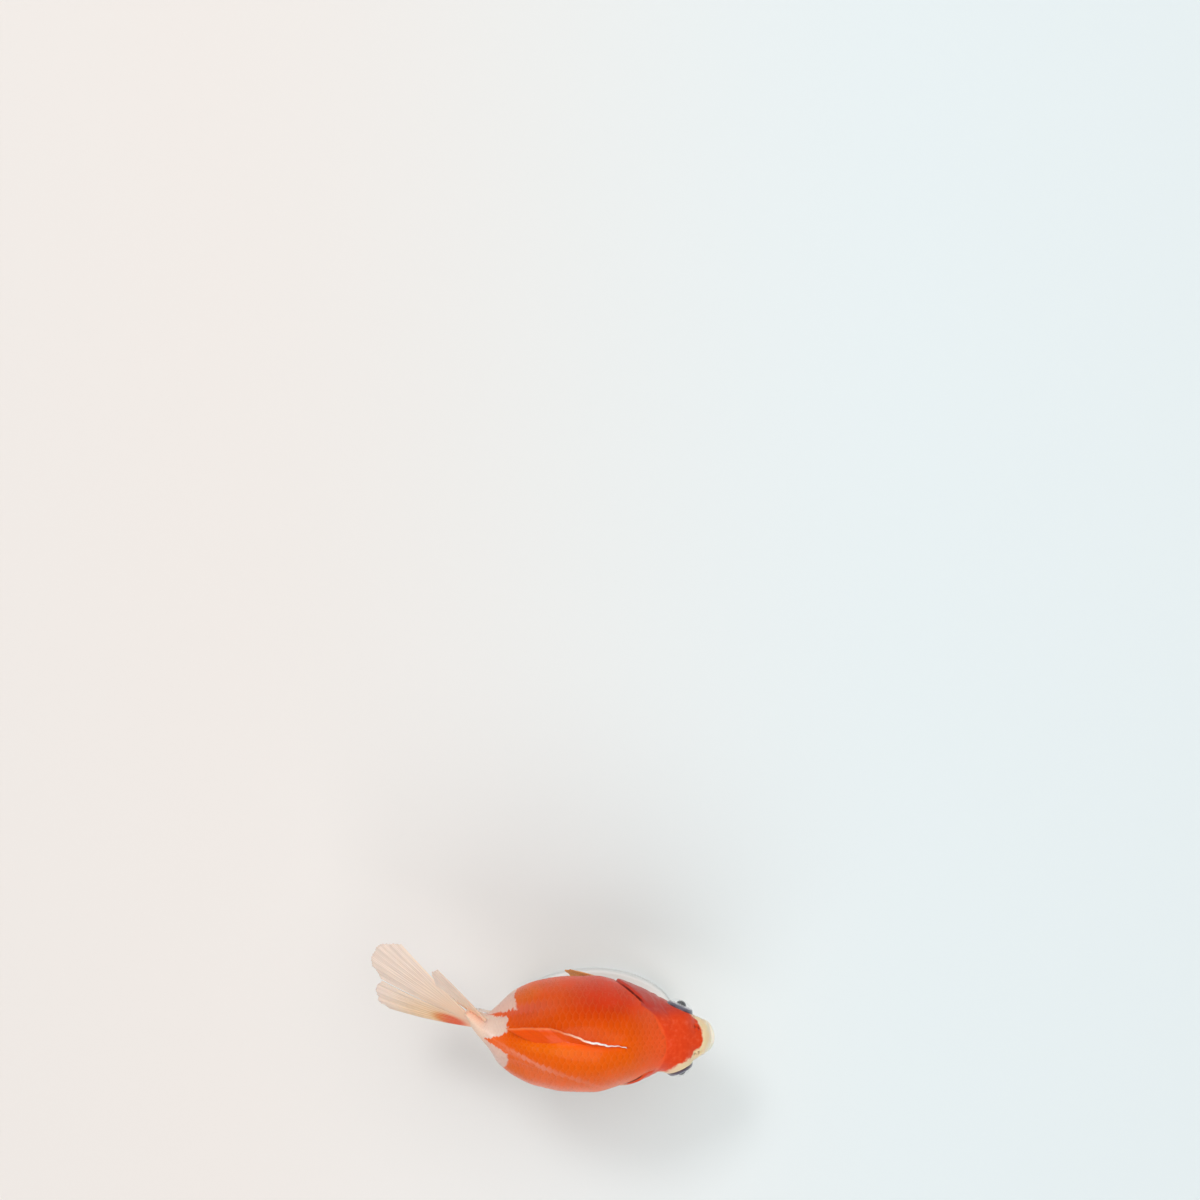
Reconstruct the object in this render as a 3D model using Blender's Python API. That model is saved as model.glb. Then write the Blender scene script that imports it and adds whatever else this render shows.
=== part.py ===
"""A goldfish of the round-bodied, double-tailed kind, life size, held level on a small display stand.

+X runs to the snout, +Y to the fish's left, +Z up. The origin is the centre of the stand's underside.
The body is one smooth form, described by its cross-sections, and parted by thin cuts.
"""

import math

import bmesh
import bpy
from mathutils import Matrix, Vector

MM = 0.001

# The stand: a flat oval base and two short rods up to the belly.
BASE_LENGTH = 46.0 * MM
BASE_WIDTH = 26.0 * MM
BASE_HEIGHT = 4.5 * MM
BASE_EDGE = 0.8 * MM
BASE_SIDES = 56
ROD_RADIUS = 1.5 * MM
ROD_PLACES = {"stand_rod_front": 8.0 * MM, "stand_rod_rear": -12.0 * MM}
ROD_SIDES = 20

# The fish's own level: the height of the line from the mouth to the tail's root.
FISH_LEVEL = 37.0 * MM

# Cross-sections from the snout to the tail's root, in millimetres from the fish's level.
# x, shift to the left, half width, height of the widest place, back, belly
SECTIONS = (
    (33.1, -0.7, 0.0, -1.0, -1.0, -1.0),
    (31.7, -0.7, 3.3, -0.9, 2.5, -4.1),
    (28.0, -0.7, 5.7, -0.8, 5.9, -7.9),
    (23.8, -0.5, 7.8, -0.4, 9.2, -11.2),
    (17.0, 0.2, 10.6, -0.6, 13.4, -14.9),
    (9.0, 0.5, 13.4, -1.2, 18.9, -18.2),
    (0.0, 0.1, 15.5, -2.4, 20.8, -20.0),
    (-7.0, 0.0, 15.4, -3.2, 20.2, -20.2),
    (-15.0, 0.0, 14.1, -4.2, 17.0, -18.3),
    (-21.0, 0.1, 11.6, -3.8, 13.2, -13.4),
    (-25.0, 0.2, 8.3, -1.6, 10.7, -7.4),
    (-28.4, 2.1, 4.5, 2.8, 9.1, -1.9),
    (-32.0, 5.1, 2.8, 4.1, 8.6, -0.4),
    (-34.0, 6.7, 0.7, 4.1, 8.2, 0.0),
)
NARROW_BACK = (0.14, 0.30, -20.0, 10.0)  # everywhere, more at the rear, the place of that, its reach
CREASE = (0.13, -20.0, 9.0, 2.4)  # depth as a share of the width, its place, its reach, its breadth
CREASE_LINE = ((-34.0, 4.0), (-28.0, 3.0), (-24.0, 6.5), (-19.0, 10.0), (-11.0, 13.0), (2.0, 13.5))
RINGS = 36
SIDES = 28

CUT = 0.3 * MM  # the gap between neighbouring pieces
MOUTH_X = 28.6
SHOULDER_X = 14.4
NAPE_MIDDLE, NAPE_RADIUS, NAPE_SPREAD = 8.0, 12.0, 58
TRUNK_CUTS = (-4.0, -15.0, -25.0)

# The gill cover's outline from the side, and how far from the middle its inner face lies.
GILL_COVER = (
    (15.0, 9.0),
    (11.4, 5.8),
    (8.4, 1.6),
    (6.7, -3.0),
    (7.6, -8.0),
    (11.2, -11.2),
    (16.0, -10.2),
    (18.0, -6.0),
    (18.1, -1.0),
    (17.6, 4.5),
    (16.8, 8.0),
)
GILL_COVER_INNER = 7.4

# The eyes: flattened balls that look outwards, a little forward and up.
EYE_RADIUS = 4.1
EYE_DEPTH = 3.5
EYE_PLACE = (23.2, 7.0, 1.5)
EYE_MIDDLE = -0.5
EYE_FORWARD = 24
EYE_UP = 6

# Each fin: the line that it grows from, the line that its rays end on, its bow and its thickness.
FIN_THICKNESS = 0.6
FINS = {
    "dorsal_fin": (
        ((11.0, 0.0, 16.8), (3.0, 0.2, 19.5), (-6.0, 0.3, 19.6), (-14.0, 0.5, 16.8)),
        ((9.0, 0.0, 19.1), (0.0, 1.9, 23.0), (-12.0, 5.0, 18.8), (-23.0, 4.0, 13.2)),
        (0.0, -0.3, 0.3),
    ),
    "pectoral_fin_left": (
        ((9.6, 10.9, -9.6), (7.4, 8.3, -13.2)),
        ((-5.2, 16.2, -9.8), (-7.8, 15.8, -12.8), (-6.4, 14.0, -16.2), (-2.0, 11.7, -18.0)),
        (0.0, 0.5, -0.5),
    ),
    "pectoral_fin_right": (
        ((9.6, -10.7, -9.6), (7.4, -8.1, -13.2)),
        ((-5.2, -16.0, -9.8), (-7.8, -15.6, -12.8), (-6.4, -13.8, -16.2), (-2.0, -11.5, -18.0)),
        (0.0, -0.5, -0.5),
    ),
    "pelvic_fin_left": (
        ((0.6, 3.4, -18.4), (-3.0, 5.0, -18.0)),
        ((-9.6, 5.8, -26.0), (-14.6, 8.2, -25.0), (-14.4, 10.4, -21.8)),
        (0.0, 0.6, -1.2),
    ),
    "pelvic_fin_right": (
        ((0.6, -3.4, -18.4), (-3.0, -5.0, -18.0)),
        ((-9.6, -5.8, -26.0), (-14.6, -8.2, -25.0), (-14.4, -10.4, -21.8)),
        (0.0, -0.6, -1.2),
    ),
    "anal_fin_left": (
        ((-18.4, 1.8, -13.6), (-23.0, 2.6, -7.6)),
        ((-26.0, 2.6, -19.6), (-32.4, 4.4, -18.2), (-31.2, 4.8, -12.0)),
        (0.0, 0.5, 0.6),
    ),
    "anal_fin_right": (
        ((-18.4, -0.8, -13.6), (-23.0, -0.2, -7.6)),
        ((-26.0, -1.0, -19.6), (-32.4, 0.4, -18.2), (-31.2, 0.9, -12.0)),
        (0.0, -0.5, 0.6),
    ),
    "tail_fin_left_upper": (
        ((-28.2, 5.2, 8.2), (-31.6, 6.6, 5.2)),
        ((-40.6, 20.6, 20.0), (-42.4, 19.2, 16.4), (-41.6, 15.6, 11.6)),
        (0.4, 0.0, 0.8),
    ),
    "tail_fin_left_lower": (
        ((-31.8, 6.6, 4.4), (-30.0, 5.4, 1.0)),
        ((-45.4, 12.8, -3.0), (-49.0, 13.4, -8.8), (-44.6, 12.4, -13.6)),
        (0.0, 0.6, 0.4),
    ),
    "tail_fin_right_upper": (
        ((-29.8, 3.6, 6.8), (-31.6, 4.6, 4.6)),
        ((-51.4, 26.2, 8.2), (-57.4, 25.4, 6.0), (-59.6, 20.6, 3.0), (-57.4, 15.6, 0.2)),
        (0.4, -0.8, 0.6),
    ),
    "tail_fin_right_lower": (
        ((-31.6, 4.4, 3.6), (-29.6, 2.2, 1.2)),
        ((-57.2, 14.9, -0.5), (-59.0, 12.2, -2.4), (-58.4, 9.0, -4.4), (-55.6, 6.4, -5.6)),
        (0.0, -0.6, 0.6),
    ),
}
FIN_GRID = (9, 7)

COLOURS = {  # base colour, roughness, metallic
    "mouth": ((0.78, 0.62, 0.42), 0.25, 0.0),
    "head": ((0.67, 0.06, 0.02), 0.25, 0.0),
    "gill_cover": ((0.62, 0.05, 0.03), 0.25, 0.0),
    "trunk": ((0.74, 0.12, 0.01), 0.25, 0.0),
    "tail_stem": ((0.80, 0.42, 0.28), 0.3, 0.0),
    "dorsal_fin": ((0.80, 0.27, 0.10), 0.3, 0.0),
    "pectoral_fin": ((0.75, 0.30, 0.06), 0.35, 0.0),
    "pelvic_fin": ((0.80, 0.55, 0.40), 0.35, 0.0),
    "anal_fin": ((0.80, 0.55, 0.40), 0.35, 0.0),
    "tail_fin": ((0.82, 0.62, 0.50), 0.35, 0.0),
    "eye": ((0.03, 0.03, 0.035), 0.08, 0.0),
    "stand_base": ((0.80, 0.79, 0.76), 0.5, 0.0),
    "stand_rod": ((0.55, 0.55, 0.56), 0.3, 1.0),
}


def clear_scene():
    for obj in list(bpy.data.objects):
        bpy.data.objects.remove(obj, do_unlink=True)


def through(knots, values, at):
    """A smooth curve through the values at rising knots, with no overshoot, read at one place."""
    at = min(max(at, knots[0]), knots[-1])
    steps = [b - a for a, b in zip(knots, knots[1:])]
    rises = [(b - a) / step for a, b, step in zip(values, values[1:], steps)]
    slopes = [rises[0]]
    for before, after in zip(rises, rises[1:]):
        slopes.append(0.0 if before * after <= 0 else 2 * before * after / (before + after))
    slopes.append(rises[-1])
    i = max(j for j in range(len(steps)) if knots[j] <= at)
    t = (at - knots[i]) / steps[i]
    start = (1 + 2 * t) * (1 - t) ** 2 * values[i] + t * (1 - t) ** 2 * steps[i] * slopes[i]
    end = t * t * (3 - 2 * t) * values[i + 1] + t * t * (t - 1) * steps[i] * slopes[i + 1]
    return start + end


def along(points, share):
    """A smooth curve through a few points, read at a share of its length from 0 to 1."""
    if len(points) == 2:
        return Vector(points[0]).lerp(Vector(points[1]), share)
    knots = [i / (len(points) - 1) for i in range(len(points))]
    return Vector([through(knots, [p[axis] for p in points], share) for axis in range(3)])


def bell(x, place, reach):
    return math.exp(-(((x - place) / reach) ** 2))


def section(x):
    """The cross-section's shift, half width, widest height, rise to the back and drop to the belly."""
    rows = SECTIONS[::-1]
    knots = [row[0] for row in rows]
    shift = through(knots, [row[1] for row in rows], x)
    widest = through(knots, [row[3] for row in rows], x)
    half = math.sqrt(max(through(knots, [row[2] ** 2 for row in rows], x), 0.0))
    rise = math.sqrt(max(through(knots, [(row[4] - row[3]) ** 2 for row in rows], x), 0.0))
    drop = math.sqrt(max(through(knots, [(row[3] - row[5]) ** 2 for row in rows], x), 0.0))
    return shift, half, widest, rise, drop


def body_point(x, turn):
    """The body's surface at x, turned from the back (0) by the left side (a quarter) to the belly."""
    shift, half, widest, rise, drop = section(x)
    up, out = math.cos(turn), math.sin(turn)
    z = widest + (rise if up > 0 else drop) * up
    everywhere, more, place, reach = NARROW_BACK
    power = 1 + (everywhere + more * bell(x, place, reach)) * max(up, 0.0)
    y = half * math.copysign(abs(out) ** power, out)
    depth, place, reach, breadth = CREASE
    line = through([p[0] for p in CREASE_LINE], [p[1] for p in CREASE_LINE], x)
    y *= 1 - depth * bell(x, place, reach) * bell(z, line, breadth)
    return Vector((x, shift + y, z))


def to_world(point):
    """From the fish's own millimetres to metres above the floor."""
    return Vector((point[0] * MM, point[1] * MM, point[2] * MM + FISH_LEVEL))


def add_object(name, bm):
    """A new object from a bmesh, smooth but for its sharp edges."""
    bmesh.ops.recalc_face_normals(bm, faces=bm.faces)
    if bm.calc_volume(signed=True) < 0:
        bmesh.ops.reverse_faces(bm, faces=bm.faces)
    mesh = bpy.data.meshes.new(name)
    bm.to_mesh(mesh)
    bm.free()
    mesh.shade_smooth()
    mesh.set_sharp_from_angle(angle=math.radians(40))
    obj = bpy.data.objects.new(name, mesh)
    bpy.context.scene.collection.objects.link(obj)
    return obj


def as_cutter(obj):
    obj.hide_render = True
    obj.display_type = "WIRE"
    return obj


def boolean(obj, operation, cutter):
    step = obj.modifiers.new(f"{operation.lower()} {cutter.name}", "BOOLEAN")
    step.operation = operation
    step.object = cutter
    step.solver = "EXACT"


def body_mesh():
    """The whole body as one closed form, from a sphere whose poles are the snout and the tail's root."""
    bm = bmesh.new()
    bmesh.ops.create_uvsphere(bm, u_segments=SIDES, v_segments=RINGS, radius=1.0)
    front, rear = SECTIONS[0][0], SECTIONS[-1][0]
    for vert in bm.verts:
        x = (front + rear) / 2 + (front - rear) / 2 * vert.co.z
        turn = math.atan2(vert.co.y, vert.co.x)
        vert.co = to_world(body_point(x, turn))
    return bm


def extruded(name, outline, low, high, sideways=False):
    """A closed prism: an outline in plan drawn up from low to high, or one in side view drawn along Y."""
    bm = bmesh.new()
    if sideways:
        verts = [bm.verts.new(to_world((a, low, b))) for a, b in outline]
        way = Vector((0, (high - low) * MM, 0))
    else:
        verts = [bm.verts.new(to_world((a, b, low))) for a, b in outline]
        way = Vector((0, 0, (high - low) * MM))
    face = bm.faces.new(verts)
    moved = bmesh.ops.extrude_face_region(bm, geom=[face])["geom"]
    bmesh.ops.translate(bm, vec=way, verts=[g for g in moved if isinstance(g, bmesh.types.BMVert)])
    return as_cutter(add_object(name, bm))


def slab(name, rear, front):
    """A block that holds the body between two places along its length."""
    return extruded(name, ((rear, -40), (front, -40), (front, 40), (rear, 40)), -40, 40)


def shoulder_block(name, rear, gap):
    """The block behind the head: straight at its rear, with a round front under the nape."""
    radius, front = NAPE_RADIUS + gap, SHOULDER_X + gap
    arc = [math.radians(NAPE_SPREAD * (i / 5 - 1)) for i in range(11)]
    nose = [(NAPE_MIDDLE + radius * math.cos(a), radius * math.sin(a)) for a in arc]
    side = nose[-1][1]
    corners = ((front, side), (front, 40), (rear, 40), (rear, -40), (front, -40), (front, -side))
    return extruded(name, [*nose, *corners], -40, 40)


def gill_block(name, side, gap):
    """The gill cover's outline drawn outwards from its inner face."""
    closed = [*GILL_COVER, GILL_COVER[0]]
    knots = range(len(closed))
    middle = [sum(p[i] for p in GILL_COVER) / len(GILL_COVER) for i in (0, 1)]
    outline = []
    for step in range(4 * len(GILL_COVER)):
        x, z = (through(knots, [p[i] for p in closed], step / 4) for i in (0, 1))
        reach = math.hypot(x - middle[0], z - middle[1])
        grow = (reach + gap) / reach
        outline.append((middle[0] + (x - middle[0]) * grow, middle[1] + (z - middle[1]) * grow))
    return extruded(name, outline, side * (GILL_COVER_INNER - gap), side * 30, sideways=True)


def eyeball(name, side, gap=0.0):
    """A flattened ball, made lying on its back and turned to look out of the head."""
    bm = bmesh.new()
    bmesh.ops.create_uvsphere(bm, u_segments=20, v_segments=14, radius=1.0)
    reach, depth = (EYE_RADIUS + gap) * MM, (EYE_DEPTH + gap) * MM
    bmesh.ops.scale(bm, vec=(reach, reach, depth), verts=bm.verts)
    out, forward = -side * (90 - EYE_UP), -side * EYE_FORWARD
    turn = Matrix.Rotation(math.radians(forward), 3, "Z") @ Matrix.Rotation(math.radians(out), 3, "X")
    bmesh.ops.rotate(bm, cent=(0, 0, 0), matrix=turn, verts=bm.verts)
    x, y, z = EYE_PLACE
    bmesh.ops.translate(bm, vec=to_world((x, EYE_MIDDLE + side * y, z)), verts=bm.verts)
    return add_object(name, bm)


def make_flesh():
    """The body parted into the mouth, the head, two gill covers, three trunk lengths and the tail's stem."""
    half = CUT / MM / 2
    front, rear = SECTIONS[0][0] + 5, SECTIONS[-1][0] - 5
    first, second, third = TRUNK_CUTS
    keeps = {
        "mouth": slab("keep_mouth", MOUTH_X + half, front),
        "head": slab("keep_head", NAPE_MIDDLE, MOUTH_X - half),
        "trunk_front": shoulder_block("keep_trunk_front", first + half, -half),
        "trunk_middle": slab("keep_trunk_middle", second + half, first - half),
        "trunk_rear": slab("keep_trunk_rear", third + half, second - half),
        "tail_stem": slab("keep_tail_stem", rear, third - half),
        "gill_cover_left": gill_block("keep_gill_cover_left", 1, -half),
        "gill_cover_right": gill_block("keep_gill_cover_right", -1, -half),
    }
    pieces = {}
    for name, keep in keeps.items():
        pieces[name] = add_object(name, body_mesh())
        boolean(pieces[name], "INTERSECT", keep)
    boolean(pieces["head"], "DIFFERENCE", shoulder_block("cut_nape", first, half))
    for side, name in ((1, "left"), (-1, "right")):
        opening = gill_block(f"cut_gill_{name}", side, half)
        boolean(pieces["head"], "DIFFERENCE", opening)
        boolean(pieces["trunk_front"], "DIFFERENCE", opening)
        socket = as_cutter(eyeball(f"cut_socket_{name}", side, gap=CUT / MM))
        boolean(pieces["head"], "DIFFERENCE", socket)
        pieces[f"eye_{name}"] = eyeball(f"eye_{name}", side)
    lips = extruded("cut_lips", ((31.4, -4.4), (36, -5), (36, 4), (31.4, 3.0)), -1.05, -0.75)
    boolean(pieces["mouth"], "DIFFERENCE", lips)
    return pieces


def grown_body():
    """The body a cut's width larger, which trims whatever meets it."""
    grown = as_cutter(add_object("cut_body", body_mesh()))
    swell = grown.modifiers.new("swell", "DISPLACE")
    swell.strength = CUT
    swell.mid_level = 0.0
    return grown


def make_fin(name, root, tips, bow, body):
    """A thin curved fan from a line in the flesh to its rays' ends."""
    bm = bmesh.new()
    across, out = FIN_GRID
    bmesh.ops.create_grid(bm, x_segments=across, y_segments=out, size=1.0)
    for vert in bm.verts:
        share, reach = (vert.co.x + 1) / 2, (vert.co.y + 1) / 2
        start, end = along(root, share), along(tips, share)
        bulge = Vector(bow) * 4 * reach * (1 - reach)
        vert.co = to_world(start.lerp(end, reach) + bulge)
    fin = add_object(name, bm)
    wall = fin.modifiers.new("thickness", "SOLIDIFY")
    wall.thickness = FIN_THICKNESS * MM
    wall.offset = 0.0
    boolean(fin, "DIFFERENCE", body)
    return fin


def make_base():
    """A flat oval base with a small bevel round its top."""
    bm = bmesh.new()
    bmesh.ops.create_circle(bm, cap_ends=True, segments=BASE_SIDES, radius=0.5)
    bmesh.ops.scale(bm, vec=(BASE_LENGTH, BASE_WIDTH, 1), verts=bm.verts)
    bmesh.ops.recalc_face_normals(bm, faces=bm.faces)
    raised = bmesh.ops.extrude_face_region(bm, geom=bm.faces[:])["geom"]
    top = [g for g in raised if isinstance(g, bmesh.types.BMVert)]
    bmesh.ops.translate(bm, vec=(0, 0, BASE_HEIGHT), verts=top)
    bmesh.ops.recalc_face_normals(bm, faces=bm.faces)
    rim = [e for e in bm.edges if all(v in top for v in e.verts)]
    bmesh.ops.bevel(
        bm, geom=rim, offset=BASE_EDGE, affect="EDGES", segments=2, profile=0.5, material=-1
    )
    return add_object("stand_base", bm)


def make_rod(name, x, body):
    """A rod from the base's top up to the belly, whose upper end is cut to the belly's curve."""
    bm = bmesh.new()
    start = BASE_HEIGHT + CUT
    length = FISH_LEVEL - 10 * MM - start
    bmesh.ops.create_cone(
        bm,
        cap_ends=True,
        segments=ROD_SIDES,
        radius1=ROD_RADIUS,
        radius2=ROD_RADIUS,
        depth=length,
        matrix=Matrix.Translation((x, 0, start + length / 2)),
    )
    rod = add_object(name, bm)
    boolean(rod, "DIFFERENCE", body)
    return rod


def paint(obj):
    """The object's own material, from the colour of its kind."""
    kind = max((k for k in COLOURS if obj.name.startswith(k)), key=len)
    colour, roughness, metallic = COLOURS[kind]
    material = bpy.data.materials.new(obj.name)
    material.use_nodes = True
    shader = material.node_tree.nodes["Principled BSDF"]
    shader.inputs["Base Color"].default_value = (*colour, 1.0)
    shader.inputs["Roughness"].default_value = roughness
    shader.inputs["Metallic"].default_value = metallic
    obj.data.materials.append(material)


def main():
    clear_scene()
    pieces = list(make_flesh().values())
    body = grown_body()
    pieces += [make_fin(name, *lines, body) for name, lines in FINS.items()]
    pieces.append(make_base())
    pieces += [make_rod(name, x, body) for name, x in ROD_PLACES.items()]
    for piece in pieces:
        paint(piece)


main()
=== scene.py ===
"""The looks of the goldfish: one skin, its scales, rayed fins and eyes, and the stand that holds it.

Metres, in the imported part's frame: +X to the snout, +Y to the fish's left, +Z up, the floor at zero.
The fish's own shape is worked out in millimetres from its level, which is FISH_LEVEL above the floor.
"""

import math
import random

import bmesh
import bpy
import numpy as np
from mathutils import Matrix, Vector, noise


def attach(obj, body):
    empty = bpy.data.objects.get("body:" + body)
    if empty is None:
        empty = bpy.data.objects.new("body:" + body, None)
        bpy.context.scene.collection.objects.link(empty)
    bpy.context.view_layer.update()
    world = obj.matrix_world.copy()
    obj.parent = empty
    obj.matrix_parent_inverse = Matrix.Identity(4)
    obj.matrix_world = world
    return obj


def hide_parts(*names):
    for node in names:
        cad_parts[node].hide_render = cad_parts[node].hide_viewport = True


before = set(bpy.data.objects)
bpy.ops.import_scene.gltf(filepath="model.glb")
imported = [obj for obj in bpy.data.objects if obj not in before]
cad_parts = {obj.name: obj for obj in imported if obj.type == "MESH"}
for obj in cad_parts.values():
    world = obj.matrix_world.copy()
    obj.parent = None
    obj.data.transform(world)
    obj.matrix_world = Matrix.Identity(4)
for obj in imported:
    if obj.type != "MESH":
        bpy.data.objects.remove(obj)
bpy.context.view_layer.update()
random.seed(7)

MM = 0.001
TINY = 1e-9
FISH_LEVEL = 37.0

# Cross-sections from the snout to the tail's root.
# x, shift to the left, half width, height of the widest place, back, belly
SECTIONS = (
    (33.1, -0.7, 0.0, -1.0, -1.0, -1.0),
    (31.7, -0.7, 3.3, -0.9, 2.5, -4.1),
    (28.0, -0.7, 5.7, -0.8, 5.9, -7.9),
    (23.8, -0.5, 7.8, -0.4, 9.2, -11.2),
    (17.0, 0.2, 10.6, -0.6, 13.4, -14.9),
    (9.0, 0.5, 13.4, -1.2, 18.9, -18.2),
    (0.0, 0.1, 15.5, -2.4, 20.8, -20.0),
    (-7.0, 0.0, 15.4, -3.2, 20.2, -20.2),
    (-15.0, 0.0, 14.1, -4.2, 17.0, -18.3),
    (-21.0, 0.1, 11.6, -3.8, 13.2, -13.4),
    (-25.0, 0.2, 8.3, -1.6, 10.7, -7.4),
    (-28.4, 2.1, 4.5, 2.8, 9.1, -1.9),
    (-32.0, 5.1, 2.8, 4.1, 8.6, -0.4),
    (-34.0, 6.7, 0.7, 4.1, 8.2, 0.0),
)
SNOUT, TAIL_ROOT = SECTIONS[0][0], SECTIONS[-1][0]
NARROW_BACK = (0.14, 0.30, -20.0, 10.0)  # everywhere, more at the rear, the place of that, its reach
CREASE = (0.13, -20.0, 9.0, 2.4)  # depth as a share of the width, its place, its reach, its breadth
CREASE_LINE = ((-34.0, 4.0), (-28.0, 3.0), (-24.0, 6.5), (-19.0, 10.0), (-11.0, 13.0), (2.0, 13.5))

# The gill cover's outline from the side, closed by its first point.
GILL_COVER = (
    (15.0, 9.0), (11.4, 5.8), (8.4, 1.6), (6.7, -3.0), (7.6, -8.0), (11.2, -11.2),
    (16.0, -10.2), (18.0, -6.0), (18.1, -1.0), (17.6, 4.5), (16.8, 8.0),
)
# The bare head ends at the nape in an arc, and at the throat behind a place and below a height.
NAPE_MIDDLE, NAPE_SHIFT, NAPE_RADIUS = 8.0, -1.2, 12.0
THROAT_START, THROAT_TOP = 13.6, -7.0
HEAD_BORDER = (-0.35, 0.25)  # the strip in which the bare look comes on
HEAD_SINK = 0.06  # how far the bare head lies inside the solids
FAR_OFF = -9.0  # for points that a feature leaves alone
THROAT_MIDDLE, THROAT_FOLDS = -0.3, (2.2, 3.5, 4.7)
CHEEK_FURROW = (24.5, -1.0, 8.9)  # its middle ahead and up, its radius

# The mouth: how far it lies to the left, its height, and how its line droops to the corners.
MOUTH_SHIFT, MOUTH_HEIGHT, MOUTH_DROOP = -0.7, -1.0, 0.14
SNOUT_FULLNESS = 0.15
# Each pit of a nostril: how far ahead and out it is, its depth and its size.
NOSTRIL_PITS = ((28.6, 3.3, 0.55, 0.40), (27.6, 3.55, 0.5, 0.36))
NOSTRIL_FLAP = (28.1, 3.4)

EYE_RADIUS, EYE_DEPTH = 4.1, 3.5
EYE_PLACE, EYE_MIDDLE = (23.2, 7.0, 1.5), -0.5  # ahead, out and up, and where out is counted from
EYE_FORWARD, EYE_UP = 24, -4  # where an eye looks, in degrees
PUPIL, IRIS_HEIGHT, IRIS_RADIUS = 1.4, 2.0, 3.35
PUPIL_DEPTH, LENS_DEPTH = 0.9, 0.85  # the lens's depth as a share of its width
EYEBALL_SIZE = (0.985, 0.97)  # the ball inside its cornea, as shares of the radius and the depth
CORNEA_START, CORNEA_WALL = 0.45, 0.10
# The skin's socket round an eye: how far along the eye's axis its rim stands, its radius,
# and its slopes outside and inside.
SOCKET_HEIGHT, SOCKET_RADIUS, SOCKET_SLOPE, SOCKET_DROP = 1.12, 3.72, 1.15, 3.0
SIDES = {"left": 1, "right": -1}

# Skin and scales.
SKIN_SIDES, SKIN_RINGS = 300, 326
HEAD_SHARE = 1.25  # above one, more of the skin's rings lie towards the snout
COAT = 0.25  # how deep the skin lies under the scales
LUMP_HEIGHT, LUMP_SCALE = 0.07, 0.22
VENT = (-15.4, 0.3, 0.9)  # its place and its size
SCALE_ROWS = 44
SCALE_PITCH, SCALE_SMALLEST = 1.75, 0.8
SCALE_LENGTH, SCALE_WIDTH = 2.1, 1.14  # as shares of the pitch, and half width as a share of a row
SCALE_THICKNESS, SCALE_RISE = 0.05, 0.14
SCALE_LEAN, SCALE_STIR = 0.04, 0.008  # how far scales differ in lean and in height
WIDEST_GIRTH = 112.0  # where the scales have their full pitch
BAKE_SIZE = 0.0015  # a scale's half size in the unwrap for baking
LAST_RING, LAST_EDGE = 2.4, 0.6  # how far ahead of the tail's root the scales stop
SLIT_WIDTH = 0.5  # the bare strip behind a gill cover's edge
FIRST_SCALE = -0.15  # how far outside the bare head the scales begin

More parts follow.
